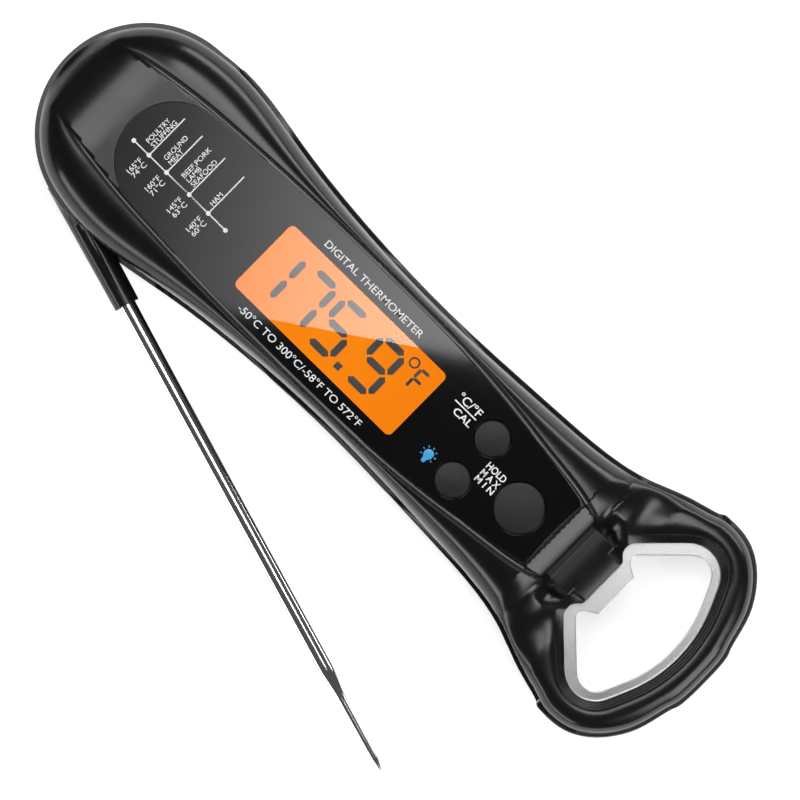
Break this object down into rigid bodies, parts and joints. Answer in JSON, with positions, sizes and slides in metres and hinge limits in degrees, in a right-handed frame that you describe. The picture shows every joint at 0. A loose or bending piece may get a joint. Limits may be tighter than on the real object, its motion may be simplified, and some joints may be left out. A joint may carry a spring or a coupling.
{
  "type": "meat thermometer",
  "caption": "Folding digital meat thermometer with a swing-out steel probe, backlit display, push buttons and a bottle-opener ring at the tail.",
  "frame": {"origin": "point of the flat back face on the probe's hinge axis, at the centre of the round head", "axes": "+Z out of the front face, along the hinge axis; +X along the handle from the round head to the opener ring; +Y to the side away from the folded probe"},
  "size_m": [0.1681, 0.0803, 0.0203],
  "materials": {
    "black_plastic": "satin moulded black",
    "gloss_panel": "polished black overlay",
    "display_glass": "orange backlit liquid crystal",
    "button_rubber": "matt grey silicone",
    "probe_steel": "polished drawn tube",
    "opener_steel": "satin stamped plate",
    "brass": "turned",
    "screw_steel": "blackened",
    "board": "green solder mask",
    "chip": "moulded epoxy",
    "white_plastic": "white moulded",
    "seal_rubber": "matt",
    "clear_plastic": "frosted light guide",
    "cell_steel": "plated",
    "contact_metal": "plated spring leaf",
    "magnet": "nickel plated",
    "lead_cover": "insulated wire",
    "epoxy_bead": "epoxy coated"
  },
  "bodies": {
    "root": {"front_cover": "black_plastic", "rear_cover": "black_plastic", "bottle_opener": "opener_steel", "display_panel": "gloss_panel", "board_leads": "lead_cover", "pivot_bush": "brass", "pivot_screw": "screw_steel", "friction_washer": "contact_metal", "hub_seals": "seal_rubber", "circuit_board": "board", "lcd_glass": "display_glass", "backlight_panel": "clear_plastic", "lcd_holder": "white_plastic", "zebra_strips": "seal_rubber", "backlight_leds": "white_plastic", "controller_chip": "chip", "reed_switch": "chip", "tact_switches": "chip", "keypad_web": "button_rubber", "case_gasket": "seal_rubber", "coin_cell": "cell_steel", "negative_contact": "contact_metal", "positive_contact": "contact_metal", "back_magnets": "magnet", "case_screws": "screw_steel"},
    "probe": {"hub_lower": "black_plastic", "hub_upper": "black_plastic", "probe_tube": "probe_steel", "sensor_leads": "lead_cover", "sensor_bead": "epoxy_bead", "hub_magnet": "magnet"},
    "units_button": {"units_button": "button_rubber"},
    "backlight_button": {"backlight_button": "button_rubber"},
    "hold_button": {"hold_button": "button_rubber"},
    "battery_door": {"battery_door": "black_plastic", "door_seal": "seal_rubber"}
  },
  "joints": [
    {"name": "probe_fold", "type": "hinge", "parent": "root", "child": "probe", "pos_m": [0, 0, 0], "axis": [0, 0, -1], "range_deg": [-16.9, 163.1]},
    {"name": "units_press", "type": "slide", "parent": "root", "child": "units_button", "axis": [0, 0, -1], "range_m": [0, 0.0005], "stiffness_N_per_m": 800},
    {"name": "backlight_press", "type": "slide", "parent": "root", "child": "backlight_button", "axis": [0, 0, -1], "range_m": [0, 0.0005], "stiffness_N_per_m": 800},
    {"name": "hold_press", "type": "slide", "parent": "root", "child": "hold_button", "axis": [0, 0, -1], "range_m": [0, 0.0005], "stiffness_N_per_m": 800},
    {"name": "battery_door_turn", "type": "hinge", "parent": "root", "child": "battery_door", "pos_m": [0.048, 0, 0], "axis": [0, 0, -1], "range_deg": [0, 40]}
  ]
}
